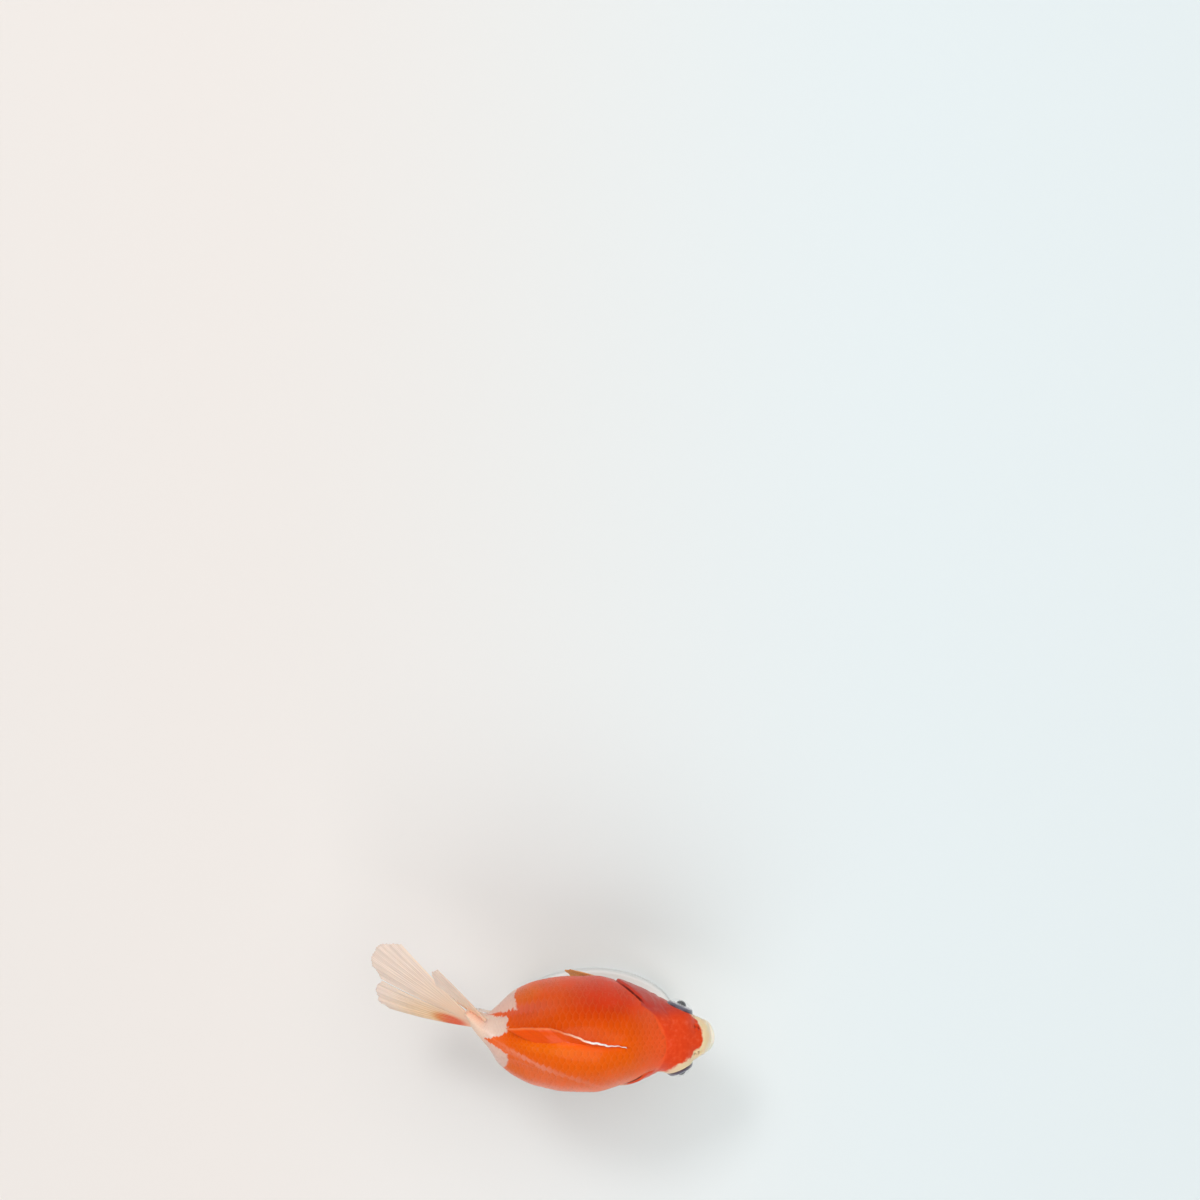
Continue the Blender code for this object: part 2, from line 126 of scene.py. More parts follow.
# Each fin: the line it grows from, the line its rays end on, its bow, its number of rays,
# and its mesh's columns and rows.
FINS = {
    "dorsal_fin": (
        ((11.0, 0.0, 16.8), (3.0, 0.2, 19.5), (-6.0, 0.3, 19.6), (-14.0, 0.5, 16.8)),
        ((9.0, 0.0, 19.1), (0.0, 1.9, 23.0), (-12.0, 5.0, 18.8), (-23.0, 4.0, 13.2)),
        (0.0, -0.3, 0.3), 17, (240, 30),
    ),
    "pectoral_fin_left": (
        ((9.6, 10.9, -9.6), (7.4, 8.3, -13.2)),
        ((-5.2, 16.2, -9.8), (-7.8, 15.8, -12.8), (-6.4, 14.0, -16.2), (-2.0, 11.7, -18.0)),
        (0.0, 0.5, -0.5), 14, (160, 40),
    ),
    "pectoral_fin_right": (
        ((9.6, -10.7, -9.6), (7.4, -8.1, -13.2)),
        ((-5.2, -16.0, -9.8), (-7.8, -15.6, -12.8), (-6.4, -13.8, -16.2), (-2.0, -11.5, -18.0)),
        (0.0, -0.5, -0.5), 14, (160, 40),
    ),
    "pelvic_fin_left": (
        ((0.6, 3.4, -18.4), (-3.0, 5.0, -18.0)),
        ((-9.6, 5.8, -26.0), (-14.6, 8.2, -25.0), (-14.4, 10.4, -21.8)),
        (0.0, 0.6, -1.2), 8, (112, 40),
    ),
    "pelvic_fin_right": (
        ((0.6, -3.4, -18.4), (-3.0, -5.0, -18.0)),
        ((-9.6, -5.8, -26.0), (-14.6, -8.2, -25.0), (-14.4, -10.4, -21.8)),
        (0.0, -0.6, -1.2), 8, (112, 40),
    ),
    "anal_fin_left": (
        ((-18.4, 1.8, -13.6), (-23.0, 2.6, -7.6)),
        ((-26.0, 2.6, -19.6), (-32.4, 4.4, -18.2), (-31.2, 4.8, -12.0)),
        (0.0, 0.5, 0.6), 6, (96, 36),
    ),
    "anal_fin_right": (
        ((-18.4, -0.8, -13.6), (-23.0, -0.2, -7.6)),
        ((-26.0, -1.0, -19.6), (-32.4, 0.4, -18.2), (-31.2, 0.9, -12.0)),
        (0.0, -0.5, 0.6), 6, (96, 36),
    ),
    "tail_fin_left_upper": (
        ((-28.2, 5.2, 8.2), (-31.6, 6.6, 5.2)),
        ((-40.6, 20.6, 20.0), (-42.4, 19.2, 16.4), (-41.6, 15.6, 11.6)),
        (0.4, 0.0, 0.8), 9, (160, 56),
    ),
    "tail_fin_left_lower": (
        ((-31.8, 6.6, 4.4), (-30.0, 5.4, 1.0)),
        ((-45.4, 12.8, -3.0), (-49.0, 13.4, -8.8), (-44.6, 12.4, -13.6)),
        (0.0, 0.6, 0.4), 9, (160, 56),
    ),
    "tail_fin_right_upper": (
        ((-29.8, 3.6, 6.8), (-31.6, 4.6, 4.6)),
        ((-51.4, 26.2, 8.2), (-57.4, 25.4, 6.0), (-59.6, 20.6, 3.0), (-57.4, 15.6, 0.2)),
        (0.4, -0.8, 0.6), 10, (200, 72),
    ),
    "tail_fin_right_lower": (
        ((-31.6, 4.4, 3.6), (-29.6, 2.2, 1.2)),
        ((-57.2, 14.9, -0.5), (-59.0, 12.2, -2.4), (-58.4, 9.0, -4.4), (-55.6, 6.4, -5.6)),
        (0.0, -0.6, 0.6), 9, (180, 72),
    ),
}

# How far a fin's edge dips between its rays and wears back, as shares of its length.
EDGE_DIP, EDGE_WEAR = 0.006, 0.03
TAIL_FOLDS, FIN_FOLDS = 0.16, 0.12
RAY_SPLITS = ((0.28, 0.42), (0.6, 0.72))  # between which shares of its length a ray splits, and again
WEB_THICKNESS, RAY_THICKNESS, FIRST_RAY_THICKNESS, ROOT_THICKNESS = 0.14, 0.07, 0.2, 0.6
CREST_BEAD = 0.3  # the folded dorsal fin's thicker, rolled edge

# Camera and studio.
CAMERA_PLACE = (2.16, 117.45)
CAMERA_DISTANCE = 700.0
VIEW_WIDTH = 324.0
SENSOR_WIDTH = 36.0
FLOOR_REACH = 3.0
# Each light, in metres and watts: its place, what it points at, its size, its power and its colour.
LIGHTS = {
    "key": ((0.25, 0.55, 1.55), (0, 0.05, 0.03), (2.2, 1.8), 17, (1.0, 0.985, 0.96)),
    "lamp": ((-0.45, 0.80, 1.2), (0, 0, 0.04), (0.42, 0.3), 4.2, (1, 1, 1)),
    "fill": ((-0.25, -0.95, 1.25), (0, 0, 0.03), (1.8, 1.2), 11, (1.0, 0.99, 0.98)),
}
SKY_COLOUR, SKY_STRENGTH = (0.90, 0.95, 1.0, 1.0), 0.27


# --- the body's form


def through(knots, values, at):
    """A smooth curve through the values at rising knots, with no overshoot, read at one place."""
    at = min(max(at, knots[0]), knots[-1])
    steps = [b - a for a, b in zip(knots, knots[1:])]
    rises = [(b - a) / step for a, b, step in zip(values, values[1:], steps)]
    slopes = [rises[0]]
    for before, after in zip(rises, rises[1:]):
        slopes.append(0.0 if before * after <= 0 else 2 * before * after / (before + after))
    slopes.append(rises[-1])
    i = max(j for j in range(len(steps)) if knots[j] <= at)
    t = (at - knots[i]) / steps[i]
    start = (1 + 2 * t) * (1 - t) ** 2 * values[i] + t * (1 - t) ** 2 * steps[i] * slopes[i]
    end = t * t * (3 - 2 * t) * values[i + 1] + t * t * (t - 1) * steps[i] * slopes[i + 1]
    return start + end


def along(points, share):
    """A smooth curve through a few points, read at a share of its length from 0 to 1."""
    if len(points) == 2:
        return Vector(points[0]).lerp(Vector(points[1]), share)
    knots = [i / (len(points) - 1) for i in range(len(points))]
    return Vector([through(knots, [p[axis] for p in points], share) for axis in range(3)])


def read_sections(x):
    """Shift, widest height, and the squares of half width, rise and drop, at one place."""
    rows = SECTIONS[::-1]
    knots = [row[0] for row in rows]
    columns = (
        [row[1] for row in rows],
        [row[3] for row in rows],
        [row[2] ** 2 for row in rows],
        [(row[4] - row[3]) ** 2 for row in rows],
        [(row[3] - row[5]) ** 2 for row in rows],
    )
    return [through(knots, column, x) for column in columns]


STATIONS = np.linspace(TAIL_ROOT, SNOUT, 1500)
STATION_VALUES = np.array([read_sections(x) for x in STATIONS]).T
CREASE_HEIGHTS = np.interp(STATIONS, [p[0] for p in CREASE_LINE], [p[1] for p in CREASE_LINE])


def bell(value, place, reach):
    """One at a place, falling off softly on both sides."""
    return np.exp(-(((value - place) / reach) ** 2))


def smooth(value, low, high):
    """Smoothly from nought to one as a value goes from low to high."""
    t = np.clip((value - low) / (high - low), 0.0, 1.0)
    return t * t * (3 - 2 * t)


def body_points(x, turn):
    """The body's surface, turned from the back (0) by the left side (a quarter) to the belly."""
    shift, widest, half, rise, drop = (np.interp(x, STATIONS, row) for row in STATION_VALUES)
    half, rise, drop = (np.sqrt(np.maximum(v, 0.0)) for v in (half, rise, drop))
    up, out = np.cos(turn), np.sin(turn)
    z = widest + np.where(up > 0, rise, drop) * up
    everywhere, more, place, reach = NARROW_BACK
    power = 1 + (everywhere + more * bell(x, place, reach)) * np.maximum(up, 0.0)
    y = half * np.sign(out) * np.abs(out) ** power
    depth, place, reach, breadth = CREASE
    line = np.interp(x, STATIONS, CREASE_HEIGHTS)
    y = y * (1 - depth * bell(x, place, reach) * bell(z, line, breadth))
    return np.stack([x, shift + y, z], axis=-1)


def body_frame(x, turn):
    """The surface's points and outward normals, by small steps along it."""
    step_x, step_turn, from_end = 0.05, 0.004, 0.02
    ahead = np.minimum(x + step_x, SNOUT - from_end)
    behind = np.maximum(x - step_x, TAIL_ROOT + from_end)
    run = body_points(ahead, turn) - body_points(behind, turn)
    round_ = body_points(x, turn + step_turn) - body_points(x, turn - step_turn)
    normal = np.cross(run, round_)
    normal /= np.maximum(np.linalg.norm(normal, axis=-1, keepdims=True), TINY)
    return body_points(x, turn), normal


def to_world(points):
    """From the fish's millimetres to the frame's metres."""
    return (np.asarray(points) + (0.0, 0.0, FISH_LEVEL)) * MM


# --- meshes


def into_scene(name, data):
    made = bpy.data.objects.new(name, data)
    bpy.context.scene.collection.objects.link(made)
    return made


def to_mesh(name, bm):
    mesh = bpy.data.meshes.new(name)
    bm.to_mesh(mesh)
    bm.free()
    return mesh


def link(name, bm, material, replaced=(), sharp=None):
    """A finished piece from a bmesh: smooth, riding on the fish, standing for its CAD nodes."""
    mesh = to_mesh(name, bm)
    mesh.materials.append(material)
    mesh.shade_smooth()
    if sharp:
        mesh.set_sharp_from_angle(angle=math.radians(sharp))
    piece = into_scene(name, mesh)
    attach(piece, "root")
    if replaced:
        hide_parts(*replaced)
    return piece


def outward(bm):
    """Turns a closed mesh's faces outwards."""
    bmesh.ops.recalc_face_normals(bm, faces=bm.faces)
    if bm.calc_volume(signed=True) < 0:
        bmesh.ops.reverse_faces(bm, faces=bm.faces)


def set_places(verts, points):
    for vert, place in zip(verts, to_world(points)):
        vert.co = place


def gill_outline():
    """The gill cover's outline as a smooth closed line of points, from the side."""
    columns = list(zip(*GILL_COVER, GILL_COVER[0]))
    knots = range(len(GILL_COVER) + 1)
    places = [k / 8 for k in range(8 * len(GILL_COVER))]
    return np.array([[through(knots, column, place) for column in columns] for place in places])


def inside_gill_cover(points):
    """How far inside the gill cover's outline each point lies, seen from the side; below zero outside."""
    outline = gill_outline()
    flat = points[:, [0, 2]]
    near = np.full(len(flat), np.inf)
    inside = np.zeros(len(flat), bool)
    for a, b in zip(outline, np.roll(outline, -1, axis=0)):
        way = b - a
        share = np.clip(((flat - a) @ way) / (way @ way), 0, 1)
        near = np.minimum(near, np.linalg.norm(flat - a - share[:, None] * way, axis=1))
        crosses = (a[1] > flat[:, 1]) != (b[1] > flat[:, 1])
        rise = way[1] if abs(way[1]) > TINY else TINY
        inside ^= crosses & (flat[:, 0] < a[0] + (flat[:, 1] - a[1]) * way[0] / rise)
    return np.where(inside, near, -near)


def eye_turn(side):
    """Turns a shape that faces up so that it looks out of the head, as an eye does."""
    out, forward = -side * (90 - EYE_UP), -side * EYE_FORWARD
    return Matrix.Rotation(math.radians(forward), 3, "Z") @ Matrix.Rotation(math.radians(out), 3, "X")


def eye_middle(side):
    x, y, z = EYE_PLACE
    return np.array((x, EYE_MIDDLE + side * y, z))


def from_eye(points, side):
    """How far each point is from an eyeball's surface, roughly, below zero inside it."""
    local = (points - eye_middle(side)) @ np.array(eye_turn(side))
    size = np.linalg.norm(local / (EYE_RADIUS, EYE_RADIUS, EYE_DEPTH), axis=1)
    return (size - 1) * EYE_RADIUS, local


def head_folds(points):
    """How far the lips, nostrils, gill covers, cheeks and throat stand out of the plain form."""
    x, y, z = points.T
    grow = np.zeros(len(points))

    # The mouth: two lips round a line that droops to its corners, and a fold behind them.
    across = y - MOUTH_SHIFT
    above = z - MOUTH_HEIGHT + MOUTH_DROOP * across**2
    aside = np.abs(across)
    wide = smooth(aside, 4.6, 3.0) * smooth(x, 27.6, 29.4)
    corner = smooth(aside, 2.6, 4.0)
    grow += SNOUT_FULLNESS * smooth(x, 25.5, 29.0) * smooth(aside, 1.5, 4.0) * smooth(x, 32.8, 31.0)
    grow += wide * (0.46 * bell(above, 0.85, 0.55) + 0.40 * bell(above, -0.80, 0.50))
    grow -= 0.38 * smooth(x, 30.0, 32.6)
    grow -= wide * 0.30 * bell(above, 1.95 - 0.5 * corner, 0.32)
    grow -= wide * 0.26 * bell(above, -1.80 + 0.5 * corner, 0.34)
    hollow = wide * bell(above, 0.0, 0.17) * smooth(x, 29.6, 31.0)
    grow -= 1.30 * hollow
    grow -= 0.25 * bell(x, 28.6 - 0.08 * above**2, 0.5) * bell(above, 0.0, 3.2) * smooth(aside, 3.0, 4.4)

    for side in SIDES.values():
        own = smooth(side * (y - EYE_MIDDLE), 0.4, 1.4)

        # A nostril: two pits with low rims, and a flap between them.
        upper = own * smooth(z, 1.0, 2.4)
        across = side * (y - MOUTH_SHIFT)
        for ahead, out, deep, size in NOSTRIL_PITS:
            off = np.hypot(x - ahead, across - out)
            pit = upper * bell(off, 0.0, size)
            grow += upper * 0.16 * bell(off, 0.72, 0.22) - deep * pit
            hollow += pit
        ahead, out = NOSTRIL_FLAP
        off = np.hypot((x - ahead) / 0.2, (across - out) / 0.55)
        grow += upper * 0.45 * bell(off, 0.0, 1.0)

        # The soft furrow round the eye.
        gap, local = from_eye(points, side)
        grow -= own * smooth(local[:, 2], -2.6, -0.4) * 0.14 * bell(gap, 1.9, 0.45)

    # The gill covers: each rises to its free rear edge and drops behind it. A furrow lines the cheek.
    depth = inside_gill_cover(points)
    rear = smooth(x, 15.6, 12.4) * smooth(np.abs(y), 3.0, 5.0)
    grow += rear * smooth(depth, -0.14, 0.20) * np.exp(-np.maximum(depth, 0.0) / 3.2) * 0.52
    grow -= rear * 0.42 * bell(depth, -0.42, 0.30)
    front = smooth(x, 12.4, 15.6) * smooth(np.abs(y), 3.0, 5.0)
    grow -= front * 0.16 * bell(depth, 0.0, 0.5)
    cheek = smooth(x, 12.0, 15.0) * smooth(z, 6.0, 2.0) * smooth(np.abs(y), 3.0, 5.0)
    ahead, up, radius = CHEEK_FURROW
    grow -= cheek * 0.12 * bell(np.hypot(x - ahead, z - up), radius, 0.5)

    # The throat: the folds under the gill covers and the line between them.
    under = smooth(z, -6.0, -9.0) * smooth(x, 9.0, 12.0) * smooth(x, 25.0, 20.0)
    middle = np.abs(y - THROAT_MIDDLE)
    for place in THROAT_FOLDS:
        grow -= under * 0.16 * bell(middle, place + 0.12 * (x - 16.0), 0.22)
    grow -= under * 0.25 * bell(middle, 0.0, 0.35)
    return grow, hollow


def into_head(points, behind_cover=0.0):
    """How far into the bare head points lie, past the nape, the gill covers' edges and the throat."""
    x, y, z = points.T
    nape = np.hypot(x - NAPE_MIDDLE, y - NAPE_SHIFT) - NAPE_RADIUS
    nape = np.where(x > NAPE_MIDDLE + 5.0, nape, FAR_OFF)
    throat = np.minimum(x - THROAT_START + 0.15 * np.abs(y), THROAT_TOP - z)
    return np.maximum(np.maximum(nape, inside_gill_cover(points) + behind_cover), throat)


def raise_sockets(points):
    """Lifts the skin round each eye into a socket that hides the eyeball's inner half."""
    blend = 0.22
    for side in SIDES.values():
        _, local = from_eye(points, side)
        off = np.hypot(local[:, 0], local[:, 1])
        wanted = SOCKET_HEIGHT - SOCKET_SLOPE * np.maximum(off - SOCKET_RADIUS, 0.0)
        wanted -= SOCKET_DROP * np.maximum(SOCKET_RADIUS - off, 0.0)
        short = (wanted - local[:, 2]) * smooth(off, SOCKET_RADIUS + 5.0, SOCKET_RADIUS + 2.0)
        short = np.where(side * (points[:, 1] - EYE_MIDDLE) > 0, short, FAR_OFF)
        lift = np.logaddexp(0.0, short / blend) * blend
        points = points + lift[:, None] * np.array(eye_turn(side))[:, 2]
    return points


def make_skin():
    """The skin, from a sphere whose poles are the snout and the tail's root."""
    bm = bmesh.new()
    bmesh.ops.create_uvsphere(bm, u_segments=SKIN_SIDES, v_segments=SKIN_RINGS, radius=1.0)
    co = np.array([v.co for v in bm.verts])
    polar = np.arccos(np.clip(co[:, 2], -1, 1)) / math.pi
    middle, reach = (SNOUT + TAIL_ROOT) / 2, (SNOUT - TAIL_ROOT) / 2
    x = middle + reach * np.cos(math.pi * polar**HEAD_SHARE)
    turn = np.arctan2(co[:, 1], co[:, 0])
    points = body_points(x, turn)
    set_places(bm.verts, points)
    outward(bm)
    bm.normal_update()
    normals = np.array([v.normal for v in bm.verts])
    bare = into_head(points)
    head = smooth(bare, *HEAD_BORDER)
    rise = smooth(bare, HEAD_BORDER[0], 1.3)
    folds, hollow = head_folds(points)
    grow = -COAT + (COAT - HEAD_SINK) * rise + folds
    grow += [LUMP_HEIGHT * noise.noise(Vector(p) * LUMP_SCALE) for p in points]

    # A low fold along the dorsal fin's root, and the vent.
    ahead, left, up = points.T
    grow += 0.25 * bell(left, 0.3, 1.1) * smooth(up, 12.0, 15.0) * bell(ahead, -1.5, 11.5)
    vent_x, vent_y, vent_size = VENT
    grow += 0.5 * bell(np.hypot(ahead - vent_x, left - vent_y), 0.0, vent_size) * (up < 0)
    set_places(bm.verts, raise_sockets(points + normals * grow[:, None]))
    flesh = ("mouth", "head", "gill_cover_left", "gill_cover_right")
    flesh += ("trunk_front", "trunk_middle", "trunk_rear", "tail_stem")
    skin = link("skin", bm, make_skin_material(), flesh)
    add_values(skin, head=head, gill_edge=inside_gill_cover(points), hollow=hollow)


def add_values(piece, **named):
    """Numbers, or vectors, stored at each point of a piece for its material to read."""
    for name, values in named.items():
        values = np.asarray(values, np.float32)
        kind, field = ("FLOAT_VECTOR", "vector") if values.ndim == 2 else ("FLOAT", "value")
        piece.data.attributes.new(name, kind, "POINT").data.foreach_set(field, values.ravel())


# --- scales


def wrapped(turn):
    """The same turn, from half a turn back to half a turn ahead."""
    return (turn + math.pi) % (2 * math.pi) - math.pi


def scales_start():
    """Where the scales begin behind the bare head, as x at turns all the way round."""
    turns = np.radians(np.arange(-180.0, 181.0, 2.5))
    ahead = np.arange(22.0, 4.0, -0.1)
    lines = [body_points(ahead, np.full(len(ahead), turn)) for turn in turns]
    return turns, [ahead[np.argmax(into_head(line, SLIT_WIDTH) < FIRST_SCALE)] for line in lines]


def scale_rings():
    """Where the rings of scales lie, half a pitch apart, from the nape to the tail's root."""
    around, step = 24, 0.2
    turns = np.linspace(0, 2 * math.pi, around, endpoint=False)
    rings = [NAPE_MIDDLE + NAPE_RADIUS]
    while rings[-1] > TAIL_ROOT + LAST_RING:
        x = rings[-1]
        here, back = (body_points(np.full(around, at), turns) for at in (x, x - step))
        stretch = np.linalg.norm(here - back, axis=1).mean() / step
        girth = np.linalg.norm(here - np.roll(here, 1, axis=0), axis=1).sum()
        pitch = max(SCALE_PITCH * (girth / WIDEST_GIRTH) ** 0.5, SCALE_SMALLEST)
        rings.append(x - pitch / 2 / stretch)
    return rings


def scale_template():
    """One scale as a low closed shell: across it is x, from root to free edge y, and down z."""
    bm = bmesh.new()
    bmesh.ops.create_grid(bm, x_segments=6, y_segments=4, size=1.0)
    for vert in bm.verts:
        across, run = vert.co.x, (vert.co.y + 1) / 2
        vert.co = (across * (0.78 + 0.22 * min(run * 2.5, 1.0)), run * (1 - 0.5 * across**2), 0)
    lower = bmesh.ops.extrude_face_region(bm, geom=bm.faces[:])["geom"]
    lower = [g for g in lower if isinstance(g, bmesh.types.BMVert)]
    bmesh.ops.translate(bm, vec=(0, 0, -1), verts=lower)
    rim = {v for v in lower if any(e.other_vert(v).co.z == 0 for e in v.link_edges)}
    bmesh.ops.dissolve_verts(bm, verts=[v for v in lower if v not in rim])
    outward(bm)
    return to_mesh("scale", bm)


def make_scales():
    """All the scales as joined meshes, each laid on the body in rows that run to the tail."""
    template = scale_template()
    shape = np.array([v.co for v in template.vertices])
    starts = scales_start()
    rings = scale_rings()
    row = 2 * math.pi / SCALE_ROWS
    groups = {"scales_left": [], "scales_right": []}
    for k, x in enumerate(rings):
        pitch = 2 * (x - rings[k + 1]) if k + 1 < len(rings) else 2 * (rings[k - 1] - x)
        for j in range(k % 2, SCALE_ROWS, 2):
            turn = wrapped(j * row)
            if x - 0.5 * pitch <= np.interp(turn, *starts):
                groups["scales_left" if turn > 0 else "scales_right"].append((x, turn, pitch))
    for name, places in groups.items():
        bm = bmesh.new()
        laid = []
        for x, turn, pitch in places:
            bm.from_mesh(template)
            lean = random.uniform(-SCALE_LEAN, SCALE_LEAN)
            across = shape[:, 0] + lean * (shape[:, 1] - 0.5)
            xs = x + pitch * 0.6 - SCALE_LENGTH * pitch * shape[:, 1]
            xs = np.clip(xs, TAIL_ROOT + LAST_EDGE, SNOUT - 0.5)
            turns = turn + across * SCALE_WIDTH * row
            xs = np.minimum(xs, np.interp(wrapped(turns), *starts))
            points, normals = body_frame(xs, turns)
            lift = -COAT + 0.02 + SCALE_RISE * shape[:, 1] - 0.02 * across**2
            lift += random.uniform(-SCALE_STIR, SCALE_STIR)
            lift += SCALE_THICKNESS * shape[:, 2]
            exposed = body_points(np.array([x - pitch * 1.1]), np.array([turn]))[0]
            unwrap = np.array((0.5 + turn / (2 * math.pi) * 0.96, (x - TAIL_ROOT) / (SNOUT - TAIL_ROOT)))
            unwrap = unwrap * 0.96 + 0.02 + BAKE_SIZE * (shape[:, :2] * (1, 2) - (0, 1))
            laid.append((points + normals * lift[:, None], np.tile(exposed, (len(shape), 1)), unwrap))
        points, roots, unwraps = (np.concatenate(part) for part in zip(*laid))
        bm.verts.ensure_lookup_table()
        set_places(bm.verts, points)
        scales = link(name, bm, scale_material, sharp=40)
        across, reach, _ = np.tile(shape, (len(places), 1)).T
        add_values(scales, root=roots, reach=reach, across=across)
        corners = np.empty(len(scales.data.loops), np.int32)
        scales.data.loops.foreach_get("vertex_index", corners)
        bake = scales.data.uv_layers.new(name="OFBake")
        bake.data.foreach_set("uv", unwraps[corners].astype(np.float32).ravel())


# --- fins


def ray_heights(share, reach, rays, splits):
    """How strongly a ray stands at places on a fin. Towards its end each splits in two, and again."""
    place = share * rays
    k = np.minimum(place.astype(int), rays - 1)
    off = place - k - 0.5
    first, second = splits[k].T
    apart = 0.25 * smooth(reach, first, first + 0.35)
    again = 0.125 * smooth(reach, second, second + 0.22)
    near = np.min([np.abs(off + a * apart + b * again) for a in (-1, 1) for b in (-1, 1)], axis=0)
    return bell(near, 0.0, 0.15 - 0.085 * reach)


def make_fin(name):
    """A thin web held by rays, with a soft edge that dips between them and shallow folds towards it."""
    root, tips, bow, rays, (columns, rows) = FINS[name]
    crest = name == "dorsal_fin"
    splits = np.array([[random.uniform(*between) for between in RAY_SPLITS] for _ in range(rays)])
    phase = random.uniform(0, 6.28)
    bm = bmesh.new()
    bmesh.ops.create_grid(bm, x_segments=columns, y_segments=rows, size=1.0)
    share, reach = np.array([((v.co.x + 1) / 2, (v.co.y + 1) / 2) for v in bm.verts]).T

    lines = []
    for each in np.linspace(0, 1, columns + 1):
        start, end = along(root, each), along(tips, each)
        ragged = 0.5 + 0.5 * noise.noise(Vector((each * rays * 0.9, phase, 0)))
        dips = 0.5 - 0.5 * math.cos(4 * math.pi * each * rays)
        worn = (EDGE_DIP * dips + EDGE_WEAR * ragged) * (0.3 if crest else 1.0)
        end = start.lerp(end, 1 - worn)
        side = (along(tips, min(each + 0.05, 1)) - along(tips, max(each - 0.05, 0))).normalized()
        face = side.cross((end - start).normalized()).normalized()
        lines.append((start, end, face))
    starts, ends, faces = (np.array(part)[np.rint(share * columns).astype(int)] for part in zip(*lines))
    ripple = np.sin(2 * math.pi * (share * (rays / 3.2) + 0.25 * reach) + phase)
    ripple += 0.5 * np.sin(2 * math.pi * share * rays * 0.83 + phase * 2)
    folds = (TAIL_FOLDS if name.startswith("tail") else FIN_FOLDS) * ripple * reach**1.5
    out = reach[:, None]
    points = starts + (ends - starts) * out + np.array(bow) * 4 * out * (1 - out)
    points += faces * folds[:, None]
    set_places(bm.verts, points)
    material = crest_material if crest else fin_material
    fin = link(name.replace("_fin", "_web"), bm, material, (name,))

    heights = ray_heights(share, reach, rays, splits)
    first_ray = bell(share, 0.0, 0.5 / rays)
    thick = WEB_THICKNESS + RAY_THICKNESS * heights * (1 - 0.55 * reach)
    thick += FIRST_RAY_THICKNESS * first_ray * (1 - 0.6 * reach)
    if crest:
        bead = CREST_BEAD * (1 + 0.7 * bell(share, 0.25, 0.2))
        thick += bead * bell(reach, 0.95, 0.08) * smooth(share, 1.0, 0.6) - 0.05 * heights
    thick += ROOT_THICKNESS * np.exp(-reach * 9)
    group = fin.vertex_groups.new(name="thickness")
    for i, value in enumerate(thick):
        group.add([i], float(min(value, 1.0)), "REPLACE")
    wall = fin.modifiers.new("wall", "SOLIDIFY")
    wall.thickness = 1.0 * MM
    wall.offset = 0.0
    wall.vertex_group = group.name
    add_values(fin, ray=np.maximum(heights, first_ray), reach=reach)


# --- eyes


def make_eye(side, name):
    """An eyeball with a flat iris, the lens that stands out of its pupil, and the cornea over both."""
    turn, place = eye_turn(side), eye_middle(side)

    def settle(bm):
        bmesh.ops.rotate(bm, cent=(0, 0, 0), matrix=turn, verts=bm.verts)
        bmesh.ops.translate(bm, vec=Vector(place) + Vector((0, 0, FISH_LEVEL)), verts=bm.verts)
        bmesh.ops.scale(bm, vec=(MM, MM, MM), verts=bm.verts)

    ball = bmesh.new()
    bmesh.ops.create_uvsphere(ball, u_segments=96, v_segments=72, radius=1.0)
    local = np.array([v.co for v in ball.verts])
    off = np.hypot(local[:, 0], local[:, 1]) * EYE_RADIUS
    wide, deep = EYEBALL_SIZE
    height = local[:, 2] * EYE_DEPTH * deep
    flat = IRIS_HEIGHT + 0.16 * (1 - (off / IRIS_RADIUS) ** 2) + 0.10 * bell(off, PUPIL + 0.25, 0.16)
    flat = flat - PUPIL_DEPTH * smooth(off, PUPIL + 0.05, PUPIL - 0.12)
    height = np.where(local[:, 2] > 0, np.minimum(height, flat), height)
    for vert, (x, y, _), z in zip(ball.verts, local, height):
        vert.co = (x * EYE_RADIUS * wide, y * EYE_RADIUS * wide, z)
    settle(ball)
    eye = link(f"eyeball_{name}", ball, iris_material, (f"eye_{name}",))
    add_values(eye, off=off, front=local[:, 2])

    lens = bmesh.new()
    bmesh.ops.create_uvsphere(lens, u_segments=48, v_segments=32, radius=PUPIL)
    bmesh.ops.scale(lens, vec=(1, 1, LENS_DEPTH), verts=lens.verts)
    bmesh.ops.translate(lens, vec=(0, 0, IRIS_HEIGHT), verts=lens.verts)
    settle(lens)
    link(f"lens_{name}", lens, lens_material)

    clear = bmesh.new()
    bmesh.ops.create_uvsphere(clear, u_segments=80, v_segments=60, radius=1.0)
    bmesh.ops.bisect_plane(
        clear,
        geom=clear.verts[:] + clear.edges[:] + clear.faces[:],
        plane_co=(0, 0, CORNEA_START),
        plane_no=(0, 0, -1),
        clear_outer=True,
    )
    bmesh.ops.scale(clear, vec=(EYE_RADIUS, EYE_RADIUS, EYE_DEPTH), verts=clear.verts)
    settle(clear)
    bmesh.ops.solidify(clear, geom=clear.faces[:], thickness=CORNEA_WALL * MM)
    link(f"cornea_{name}", clear, cornea_material)


# --- materials


def srgb(red, green, blue):
    """A colour named as on a screen, from 0 to 255, as the linear light that shaders use."""
    parts = [v / 255 for v in (red, green, blue)]
    return (*[v / 12.92 if v <= 0.04045 else ((v + 0.055) / 1.055) ** 2.4 for v in parts], 1.0)


